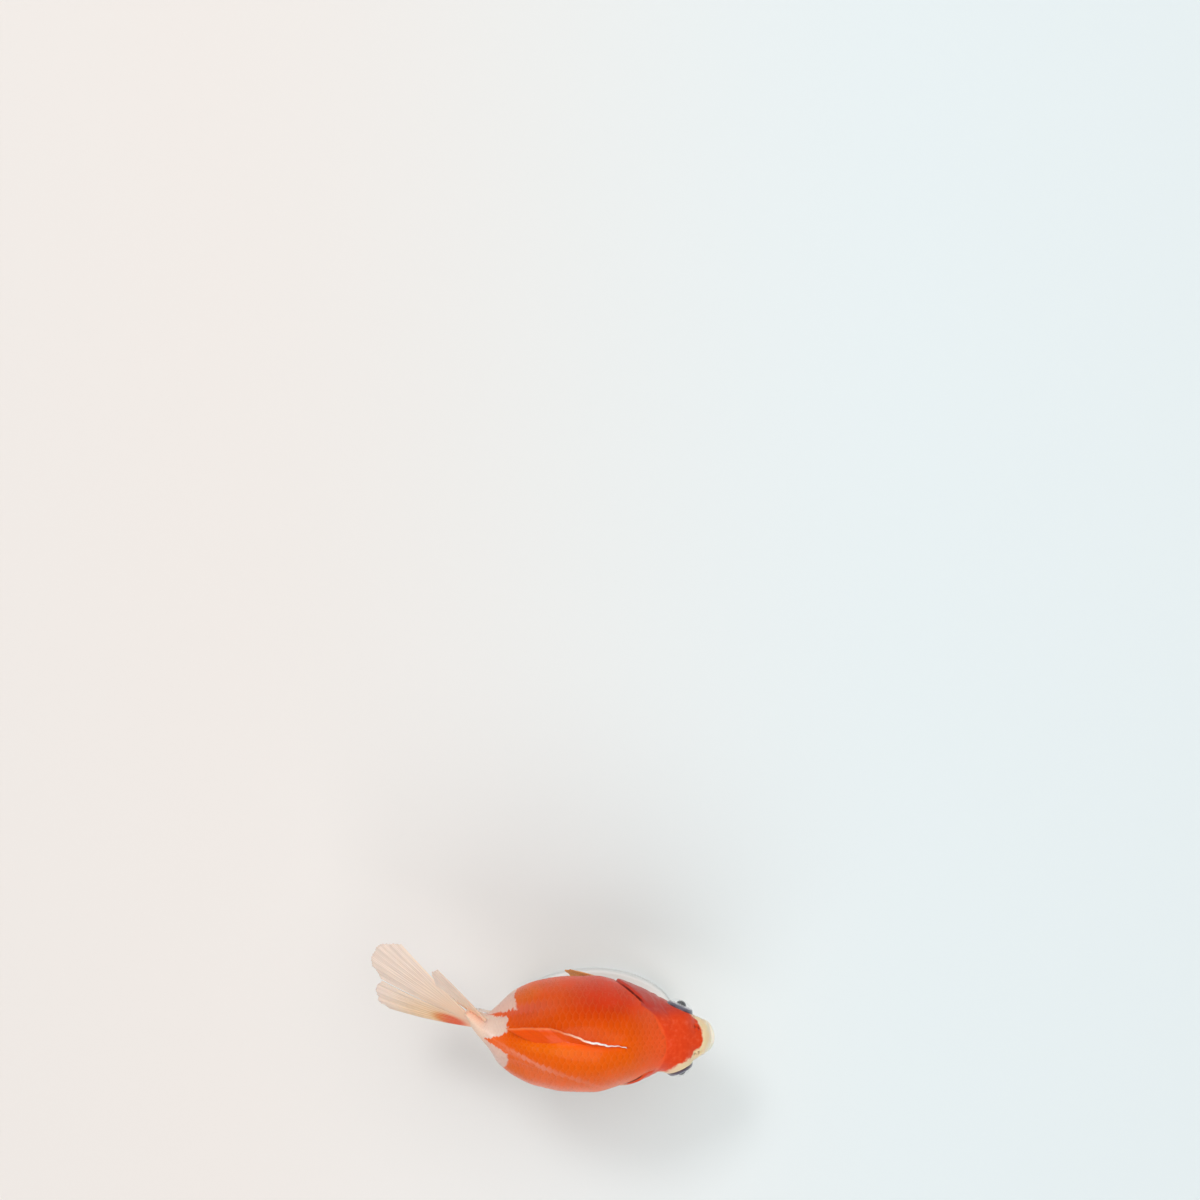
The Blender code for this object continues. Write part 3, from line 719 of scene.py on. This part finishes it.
class Paint:
    """A short way to write a material's nodes."""

    def __init__(self, name):
        self.material = bpy.data.materials.new(name)
        self.material.use_nodes = True
        self.tree = self.material.node_tree
        self.shader = self.tree.nodes["Principled BSDF"]

    def add(self, kind, inputs, **settings):
        made = self.tree.nodes.new(kind)
        for key, value in settings.items():
            setattr(made, key, value)
        for key, value in inputs.items():
            self.put(made.inputs[key], value)
        return made

    def put(self, socket, value):
        if isinstance(value, bpy.types.NodeSocket):
            self.tree.links.new(value, socket)
        else:
            socket.default_value = value

    def set(self, **inputs):
        for key, value in inputs.items():
            self.put(self.shader.inputs[key.replace("_", " ")], value)

    def reckon(self, operation, a, b=0.0, c=0.0, clamp=False):
        made = self.add("ShaderNodeMath", {0: a, 1: b, 2: c}, operation=operation)
        made.use_clamp = clamp
        return made.outputs[0]

    def tools(self):
        """The commonest steps, to call by their own names."""
        return self.mix, self.step, self.both, self.reckon

    def both(self, a, b, clamp=False):
        """Two shares multiplied."""
        return self.reckon("MULTIPLY", a, b, clamp=clamp)

    def vector(self, operation, *inputs):
        return self.add("ShaderNodeVectorMath", dict(enumerate(inputs)), operation=operation).outputs

    def axes(self, place):
        """A place's three parts: ahead, left and up."""
        return self.add("ShaderNodeSeparateXYZ", {0: place}).outputs[:]

    def step(self, value, low, high, to=(0.0, 1.0)):
        """Smoothly from one value to another as the input goes from low to high."""
        inputs = {"Value": value, "From Min": low, "From Max": high, "To Min": to[0], "To Max": to[1]}
        return self.add("ShaderNodeMapRange", inputs, interpolation_type="SMOOTHSTEP").outputs[0]

    def mix(self, share, a, b, blend="MIX"):
        made = self.add("ShaderNodeMix", {0: share, 6: a, 7: b}, data_type="RGBA", blend_type=blend)
        return made.outputs[2]

    def noise(self, place, scale, detail, distortion=0.0, field="Fac"):
        inputs = {"Vector": place, "Scale": scale, "Detail": detail, "Distortion": distortion}
        return self.add("ShaderNodeTexNoise", inputs).outputs[field]

    def value(self, name, field="Fac"):
        return self.add("ShaderNodeAttribute", {}, attribute_name=name).outputs[field]

    def own_place(self):
        """The place on the piece in the fish's millimetres."""
        where = self.add("ShaderNodeTexCoord", {}).outputs["Object"]
        inputs = {"Vector": where, "Location": (0, 0, -FISH_LEVEL), "Scale": (1000, 1000, 1000)}
        return self.add("ShaderNodeMapping", inputs).outputs[0]

    def spot(self, place, middle, size, soft, turn):
        """One inside an oval body about a place, nought outside."""
        turned = (0, 0, math.radians(turn))
        inputs = {"Vector": place, "Location": middle, "Rotation": turned, "Scale": size}
        local = self.add("ShaderNodeMapping", inputs, vector_type="TEXTURE").outputs[0]
        far = self.vector("LENGTH", local)["Value"]
        return self.step(far, 1 + soft, 1 - soft)

    def rough(self, source, low, high):
        """Sets how rough the finish is, between two values that follow a noise."""
        self.set(Roughness=self.step(source, 0.3, 0.7, (low, high)))

    def bump(self, height, strength, distance, under=None):
        inputs = {"Height": height, "Strength": strength, "Distance": distance}
        if under is not None:
            inputs["Normal"] = under
        return self.add("ShaderNodeBump", inputs).outputs[0]


# The back's orange as painted in shade on the left and in light on the right; the red below is the left
# side's deepest painted shade.
SHADED_LEFT_ORANGE = srgb(240, 82, 0)
LIT_RIGHT_ORANGE = srgb(250, 98, 0)
LIGHT_ORANGE = srgb(255, 116, 0)
SHADED_RED = srgb(222, 48, 0)
CORAL = srgb(252, 112, 56)
GOLD = srgb(240, 98, 0)
HEAD_RED = srgb(228, 66, 24)
# Painted shade: the head's red as it reads on the left side.
LEFT_HEAD_SHADE_RED = srgb(188, 64, 56)
NAPE = srgb(252, 92, 40)
PEARL = srgb(240, 196, 178)
SADDLE = srgb(246, 214, 194)
CREAM = srgb(250, 222, 176)
CHEEK = srgb(242, 200, 172)
BELLY = srgb(244, 218, 200)
TAIL_STEM_WHITE = srgb(252, 218, 192)
LIP_WHITE = srgb(253, 242, 224)
# Painted shade for the slit behind a gill cover and for the hollows of the mouth and nostrils.
SLIT_SHADE = srgb(84, 20, 16)
HOLLOW_SHADE = srgb(110, 34, 22)
SCALE_RUST = srgb(190, 50, 12)
SCALE_RIM = srgb(255, 190, 130)
SCALE_SHADE = srgb(150, 26, 8)
TAIL_TONES = srgb(255, 190, 164), srgb(255, 208, 190)
TAIL_PEACH = srgb(255, 184, 132)
PATCH_TONES = srgb(224, 70, 28), srgb(236, 132, 40)
CREST_ORANGE = srgb(236, 80, 0)
# The crest's pale coral edge, then the painted highlight, pink and then white, towards its front.
CREST_REAR = srgb(246, 118, 58)
CREST_HIGHLIGHT_PINK = srgb(255, 196, 164)
CREST_HIGHLIGHT_WHITE = srgb(255, 250, 246)
SIDE_FIN_TONES = srgb(236, 96, 0), srgb(242, 126, 16)
LOW_FIN_TONES = srgb(238, 168, 120), srgb(242, 222, 206)
RAY_WHITE = srgb(246, 226, 206)
IRIS_TONES = srgb(172, 167, 176), srgb(220, 217, 221)
IRIS_GOLD = srgb(226, 204, 168)
IRIS_RIM = srgb(120, 112, 120)
PUPIL_BLACK = srgb(4, 4, 5)
EYEBALL_TONES = srgb(96, 94, 110), srgb(84, 50, 56)
LENS_TONES = srgb(6, 6, 8), srgb(20, 20, 26)
CORNEA_TONES = srgb(226, 228, 232), srgb(240, 240, 242)
LACQUER_TONES = srgb(226, 225, 222), srgb(238, 238, 236)
STEEL_TONES = srgb(176, 176, 178), srgb(208, 208, 208)
FLOOR_TONES = srgb(234, 235, 236), srgb(238, 239, 240)
FLOOR_SIDES = srgb(232, 222, 214), srgb(222, 234, 236)

# Soft spots and streaks on the back: middle, size, softness, turn, strength and colour. The last three
# are a painted reflection and painted highlights.
MARKS_AND_PAINTED_SHEENS = (
    ((-19.0, 11.6, 3.0), (5.2, 3.0, 8.0), 0.5, 20, 1.0, GOLD),
    ((-20.6, -8.8, 2.0), (5.6, 2.6, 8.0), 0.5, -30, 1.0, GOLD),
    ((-11.0, -0.6, 18.0), (9.0, 1.6, 6.0), 0.7, -4, 0.5, LIGHT_ORANGE),
    # Painted reflection: a pinkish coral line along the left of the back.
    ((-20.0, 8.2, 10.0), (8.0, 1.3, 9.0), 0.9, 10, 0.55, srgb(226, 104, 84)),
    # Painted highlights: two pink streaks along the crease on the right flank.
    ((-13.5, -5.8, 13.0), (16.0, 0.6, 9.0), 0.8, -21, 0.6, srgb(250, 136, 104)),
    ((-19.0, -3.2, 12.0), (8.5, 0.45, 9.0), 0.6, -27, 0.5, srgb(252, 150, 118)),
)
# The tongues of orange that run into the white: where each one ends, how fast it widens, and its slope.
TONGUES = ((-28.0, 6.1, 0.14, 0.10), (-28.7, 0.2, 0.47, -0.10))
WANDER, DRIFT = 1.5, 15.0  # how far the markings' borders stray everywhere, and low on the flanks
SCALE_SHARE = 0.65  # how much a marking runs on within a scale; nought gives whole scales one colour


def markings(paint, place):
    """The fish's colours at a place, with painted shade, painted light, a painted reflection and painted
    highlights on the body: orange, with white at the tail's root and a pale belly.
    """
    mix, step, both, reckon = paint.tools()
    wander = paint.noise(place, 0.7, 4.0, 0.6, "Color")
    shift = paint.vector("SUBTRACT", wander, (0.5, 0.5, 0.5))[0]
    loose = paint.vector("MULTIPLY_ADD", shift, (WANDER,) * 3, place)[0]
    x, y, z = paint.axes(loose)
    drift = reckon("SUBTRACT", paint.noise(place, 0.16, 3.0, 0.6), 0.5)
    drift = both(drift, step(z, 4.0, -4.0, (0.0, DRIFT)))
    x, z = reckon("ADD", x, drift), reckon("ADD", z, drift)

    # The back: the fish's own orange, with painted shade darkening its left side and painted light
    # brightening its right side, coral at the nape, and painted light making the lower right flank coral.
    colour = mix(step(y, 8.0, -4.0), SHADED_LEFT_ORANGE, LIT_RIGHT_ORANGE)
    # Painted shade: the front of the left side darkened towards red.
    painted_left_shade = both(step(y, 5.0, 11.0), step(x, -12.0, 2.0))
    colour = mix(both(painted_left_shade, 0.8), colour, SHADED_RED)
    colour = mix(step(x, 9.0, 19.5), colour, NAPE)
    # Painted light: the lower right flank made lighter and coral.
    flank = both(step(y, -6.0, -11.0), step(z, 14.0, 8.0))
    colour = mix(flank, colour, CORAL)
    for middle, size, soft, turn, strength, tint in MARKS_AND_PAINTED_SHEENS:
        streak = paint.spot(loose, middle, size, soft, turn)
        colour = mix(both(streak, strength), colour, tint)

    # White towards the tail, with two tongues of orange running into it, and a pale belly.
    white = step(x, -22.2, -22.8)
    low_edge = reckon("MULTIPLY_ADD", y, -1.0, x)
    white = both(white, step(low_edge, -15.2, -15.8))
    high_edge = reckon("MULTIPLY_ADD", y, 0.35, x)
    above = reckon("MULTIPLY_ADD", x, -0.2, y)
    corner = both(step(above, 11.7, 12.3), step(high_edge, -17.0, -17.6))
    white = reckon("MAXIMUM", white, corner)
    for end_x, end_y, widening, slope in TONGUES:
        run = reckon("SUBTRACT", x, end_x)
        line = reckon("MULTIPLY_ADD", run, slope, end_y)
        off = reckon("ABSOLUTE", reckon("SUBTRACT", y, line))
        inside = reckon("SUBTRACT", both(run, widening), off)
        white = both(white, step(inside, 0.2, -0.2))
    under = both(step(z, 1.0, -0.5), step(x, -23.0, -24.0))
    white = reckon("MAXIMUM", white, under)
    pale = mix(paint.spot(loose, (-27.0, 3.0, 8.0), (5.5, 3.4, 9.0), 0.4, -16), PEARL, SADDLE)
    pale = mix(step(x, -27.5, -30.5), pale, TAIL_STEM_WHITE)
    colour = mix(step(x, -21.5, -26.0, (0.0, 0.6)), colour, CORAL)
    colour = mix(white, colour, pale)
    return mix(step(z, -6.6, -8.4), colour, BELLY)


def make_skin_material():
    paint = Paint("fish skin")
    mix, step, both, reckon = paint.tools()
    place = paint.own_place()
    colour = markings(paint, place)
    x, y, z = paint.axes(place)
    mottle = paint.noise(place, 0.8, 4.0)

    # The bare head: a red cap over cream cheeks, throat and lips, with painted shade darkening its left
    # side.
    cap = mix(step(mottle, 0.2, 0.9, (0.0, 0.5)), HEAD_RED, NAPE)
    # Painted shade on the left of the head.
    cap = mix(both(step(y, 5.5, 8.5), 0.8), cap, LEFT_HEAD_SHADE_RED)
    patchy = paint.noise(place, 0.28, 4.0, 0.5)
    low = reckon("SUBTRACT", z, both(patchy, 9.0))
    low = reckon("SUBTRACT", low, step(y, 2.0, -5.0, (-2.0, 7.4)))
    low = reckon("ADD", low, step(x, 26.0, 12.0, (0.0, 3.2)))
    cheek = mix(step(x, 27.0, 16.0), CREAM, CHEEK)
    cap = mix(step(low, -4.4, -6.2), cap, cheek)
    pull = both(both(y, y), 0.085)
    ahead = reckon("ADD", reckon("ADD", x, pull), both(mottle, 1.4))
    lips = step(ahead, 30.1, 30.7)
    pale_lips = mix(step(ahead, 31.6, 33.4), CREAM, LIP_WHITE)
    cap = mix(lips, cap, pale_lips)
    colour = mix(paint.value("head"), colour, cap)

    # Painted shade in the slit behind each gill cover, stronger higher up, and in the hollows of the
    # mouth and nostrils.
    edge = paint.value("gill_edge")
    slit = both(step(edge, -0.9, -0.45), step(edge, 0.05, -0.10))
    behind = both(slit, step(x, 14.2, 12.6))
    darker = step(z, -1.0, 4.5, (0.35, 0.9))
    behind = both(both(behind, darker), step(z, -9.0, -6.0))
    # Painted shade in the slit.
    colour = mix(behind, colour, SLIT_SHADE)
    # Painted shade in the hollows of the mouth and nostrils.
    hollow_shade_share = both(paint.value("hollow"), 0.6, clamp=True)
    colour = mix(hollow_shade_share, colour, HOLLOW_SHADE)
    colour = mix(both(step(mottle, 0.5, 0.8), 0.05), colour, PEARL)

    pores = paint.noise(place, 5.0, 3.0)
    grain = paint.noise(place, 1.6, 3.0)
    normal = paint.bump(grain, 0.25, 0.0003)
    normal = paint.bump(pores, 0.2, 0.00006, normal)
    paint.set(Base_Color=colour, Roughness=step(mottle, 0.2, 0.8, (0.30, 0.42)), Normal=normal)
    paint.set(Subsurface_Weight=0.2, Subsurface_Radius=(0.0012, 0.0004, 0.0002), Subsurface_Scale=1.0)
    paint.set(Specular_IOR_Level=0.07, Coat_Weight=0.2, Coat_Roughness=0.06, Coat_IOR=1.33)
    return paint.material


def make_scale_material():
    paint = Paint("fish scales")
    mix, step, both, reckon = paint.tools()
    root = paint.value("root", "Vector")
    reach, across = paint.value("reach"), paint.value("across")
    place = paint.own_place()
    from_root = paint.vector("SUBTRACT", place, root)[0]
    near = paint.vector("MULTIPLY_ADD", from_root, (SCALE_SHARE,) * 3, root)[0]
    colour = markings(paint, near)
    each = paint.add("ShaderNodeTexWhiteNoise", {"Vector": root}, noise_dimensions="3D").outputs["Value"]
    colour = mix(both(each, 0.10), colour, SCALE_RUST)
    from_middle = both(both(across, across), 0.5)
    to_edge = reckon("ADD", reach, from_middle)
    rim = step(to_edge, 0.86, 0.99)
    colour = mix(both(rim, 0.06), colour, SCALE_RIM)
    shade = step(to_edge, 0.72, 0.50, (0.0, 0.12))
    colour = mix(shade, colour, SCALE_SHADE, "MULTIPLY")

    circles = reckon("SINE", both(to_edge, 90.0))
    normal = paint.bump(circles, 0.15, 0.00002)
    fine = paint.noise(place, 3.0, 2.0)
    normal = paint.bump(fine, 0.2, 0.00008, normal)
    paint.rough(fine, 0.26, 0.36)
    paint.set(Base_Color=colour, Normal=normal)
    paint.set(Subsurface_Weight=0.12, Subsurface_Radius=(0.0010, 0.0004, 0.0002), Subsurface_Scale=1.0)
    paint.set(Specular_IOR_Level=0.06, Coat_Weight=0.32, Coat_Roughness=0.05, Coat_IOR=1.3)
    return paint.material


def make_fin_material(name, specular, coat, clear):
    """A fin's web and rays, with its shine, its wetness and how clear it is."""
    paint = Paint(name)
    mix, step, both, reckon = paint.tools()
    place = paint.own_place()
    x, y, z = paint.axes(place)
    ray, reach = paint.value("ray"), paint.value("reach")
    mottle = paint.noise(place, 0.5, 4.0)

    # The tail: rosy white, warmer on its lower lobe, with a red patch there.
    tail = mix(step(reach, 0.15, 0.9), *TAIL_TONES)
    warm = paint.spot(place, (-45.0, 5.0, 0.0), (8.0, 3.6, 9.0), 0.9, -18)
    tail = mix(both(warm, 0.7), tail, TAIL_PEACH)
    patch = paint.spot(place, (-38.4, 4.3, 0.0), (4.8, 1.5, 7.0), 0.4, -18)
    hot = mix(step(x, -38.0, -45.0), *PATCH_TONES)
    tail = mix(both(patch, step(mottle, 0.2, 0.4, (0.75, 1.0))), tail, hot)

    # The dorsal fin with its pale crest, coral behind and whitened towards its front by a painted
    # highlight, the fins at the sides, and those below.
    # Painted highlight along the front of the crest.
    crest = mix(step(x, -9.0, -3.0), CREST_REAR, CREST_HIGHLIGHT_PINK)
    crest = mix(step(x, -3.0, 1.0), crest, CREST_HIGHLIGHT_WHITE)
    back = mix(step(reach, 0.86, 0.97), CREST_ORANGE, crest)
    side = mix(step(reach, 0.35, 0.95), *SIDE_FIN_TONES)
    low = mix(step(reach, 0.0, 0.5), *LOW_FIN_TONES)
    colour = mix(step(z, -17.0, -19.0), side, low)
    colour = mix(step(x, -15.5, -17.5), colour, low)
    colour = mix(step(z, 10.0, 12.0), colour, back)
    on_tail = both(step(x, -26.0, -27.0), step(reckon("ADD", z, y), -12.0, -8.0))
    colour = mix(on_tail, colour, tail)
    colour = mix(both(ray, step(z, 12.0, 14.0, (0.25, 0.0))), colour, RAY_WHITE)

    joints = reckon("SINE", both(reach, 260.0))
    jointed = both(both(joints, ray), 0.3)
    normal = paint.bump(jointed, 0.25, 0.00004)
    webbing = paint.noise(place, 2.5, 3.0)
    normal = paint.bump(webbing, 0.25, 0.0001, normal)
    thin = step(reach, 0.05, 0.95, (1 - 0.02 * clear, 1 - 0.28 * clear))
    alpha = reckon("ADD", thin, both(ray, 0.22), clamp=True)
    wet = step(reach, 0.84, 0.96, (0.35 * coat, coat))
    paint.rough(webbing, 0.28, 0.42)
    paint.set(Base_Color=colour, Normal=normal, Alpha=alpha, Specular_IOR_Level=specular)
    paint.set(Coat_Weight=wet, Coat_Roughness=0.06, Subsurface_Weight=0.7 * clear)
    paint.set(Subsurface_Radius=(0.002, 0.0014, 0.0010), Subsurface_Scale=1.0)
    return paint.material


def make_iris_material():
    paint = Paint("iris")
    mix, step = paint.mix, paint.step
    place = paint.own_place()
    off, front = paint.value("off"), paint.value("front")
    speck = paint.noise(place, 3.6, 6.0, 0.4)
    silver = mix(step(speck, 0.3, 0.7), *IRIS_TONES)
    gold_ring = step(off, PUPIL + 0.4, PUPIL + 0.15)
    colour = mix(gold_ring, silver, IRIS_GOLD)
    colour = mix(step(off, 3.0, 3.7), colour, IRIS_RIM)
    colour = mix(step(off, PUPIL + 0.06, PUPIL - 0.06), colour, PUPIL_BLACK)
    inner = mix(step(front, 0.50, 0.26), *EYEBALL_TONES)
    colour = mix(step(front, 0.56, 0.50), colour, inner)
    normal = paint.bump(speck, 0.4, 0.0001)
    paint.rough(speck, 0.2, 0.38)
    paint.set(Base_Color=colour, Normal=normal)
    paint.set(Metallic=step(off, 3.2, 2.6, (0.0, 0.5)), Coat_Weight=0.8, Coat_Roughness=0.05)
    return paint.material


def make_glass_material(name, scale, colours, rough, coat_rough, alpha):
    """A glassy finish, slightly clouded, for the lens and the cornea."""
    paint = Paint(name)
    cloud = paint.noise(paint.own_place(), scale, 2.0)
    paint.rough(cloud, *rough)
    paint.set(Base_Color=paint.mix(cloud, *colours), Alpha=alpha)
    paint.set(Coat_Weight=1.0, Coat_Roughness=coat_rough)
    return paint.material


def make_base_material():
    paint = Paint("stand lacquer")
    place = paint.own_place()
    cloud = paint.noise(place, 0.12, 4.0)
    speck = paint.noise(place, 4.0, 2.0)
    colour = paint.mix(cloud, *LACQUER_TONES)
    paint.rough(speck, 0.34, 0.5)
    paint.set(Base_Color=colour)
    paint.set(Normal=paint.bump(speck, 0.15, 0.00006), Coat_Weight=0.15, Coat_Roughness=0.2)
    return paint.material


def make_rod_material():
    paint = Paint("rod steel")
    place = paint.own_place()
    stretched = paint.add("ShaderNodeMapping", {"Vector": place, "Scale": (9.0, 9.0, 0.25)}).outputs[0]
    brushed = paint.noise(stretched, 1.0, 3.0)
    colour = paint.mix(brushed, *STEEL_TONES)
    paint.rough(brushed, 0.2, 0.34)
    paint.set(Base_Color=colour, Metallic=1.0, Normal=paint.bump(brushed, 0.2, 0.00004))
    return paint.material


def make_floor_material():
    paint = Paint("floor")
    where = paint.add("ShaderNodeTexCoord", {}).outputs["Object"]
    cloud = paint.noise(where, 6.0, 3.0)
    pale = paint.mix(cloud, *FLOOR_TONES)
    tone = paint.mix(paint.step(paint.axes(where)[0], -0.12, 0.10), *FLOOR_SIDES)
    paint.set(Base_Color=paint.mix(0.7, pale, tone), Roughness=0.55)
    return paint.material


# --- the studio


def make_floor():
    bm = bmesh.new()
    bmesh.ops.create_grid(bm, x_segments=1, y_segments=1, size=FLOOR_REACH)
    mesh = to_mesh("floor", bm)
    mesh.materials.append(make_floor_material())
    into_scene("floor", mesh)


def add_light(name, place, aim, size, power, colour):
    data = bpy.data.lights.new(name, "AREA")
    data.shape = "RECTANGLE"
    data.size, data.size_y = size
    data.energy = power
    data.color = colour
    light = into_scene(name, data)
    light.location = place
    light.rotation_euler = (Vector(aim) - Vector(place)).to_track_quat("-Z", "Y").to_euler()


def make_studio():
    make_floor()
    for name, light in LIGHTS.items():
        add_light(name, *light)
    world = bpy.data.worlds.new("studio")
    world.use_nodes = True
    sky = world.node_tree.nodes["Background"].inputs
    sky["Color"].default_value = SKY_COLOUR
    sky["Strength"].default_value = SKY_STRENGTH
    bpy.context.scene.world = world
    bpy.context.scene.view_settings.view_transform = "Standard"


def make_camera():
    data = bpy.data.cameras.new("camera")
    data.sensor_width = SENSOR_WIDTH
    data.lens = SENSOR_WIDTH * CAMERA_DISTANCE / VIEW_WIDTH
    data.clip_start = 0.01
    camera = into_scene("camera", data)
    camera.location = to_world((*CAMERA_PLACE, CAMERA_DISTANCE))
    bpy.context.scene.camera = camera


scale_material = make_scale_material()
fin_material = make_fin_material("fin web", 0.2, 0.35, 1.0)
crest_material = make_fin_material("wet dorsal fin with painted highlight", 0.1, 1.0, 0.1)
iris_material = make_iris_material()
lens_material = make_glass_material("lens", 0.9, LENS_TONES, (0.06, 0.12), 0.02, 1.0)
cornea_material = make_glass_material("cornea", 1.2, CORNEA_TONES, (0.02, 0.06), 0.01, 0.05)

make_skin()
make_scales()
for fin_name in FINS:
    make_fin(fin_name)
for side_name, side_sign in SIDES.items():
    make_eye(side_sign, side_name)

stand_materials = {"stand_base": make_base_material(), "stand_rod": make_rod_material()}
for node_name, slot_name in (
    ("stand_base", "stand_base"),
    ("stand_rod_front", "stand_rod"),
    ("stand_rod_rear", "stand_rod"),
):
    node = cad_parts[node_name]
    node.data.materials.clear()
    node.data.materials.append(stand_materials[slot_name])

make_studio()
make_camera()
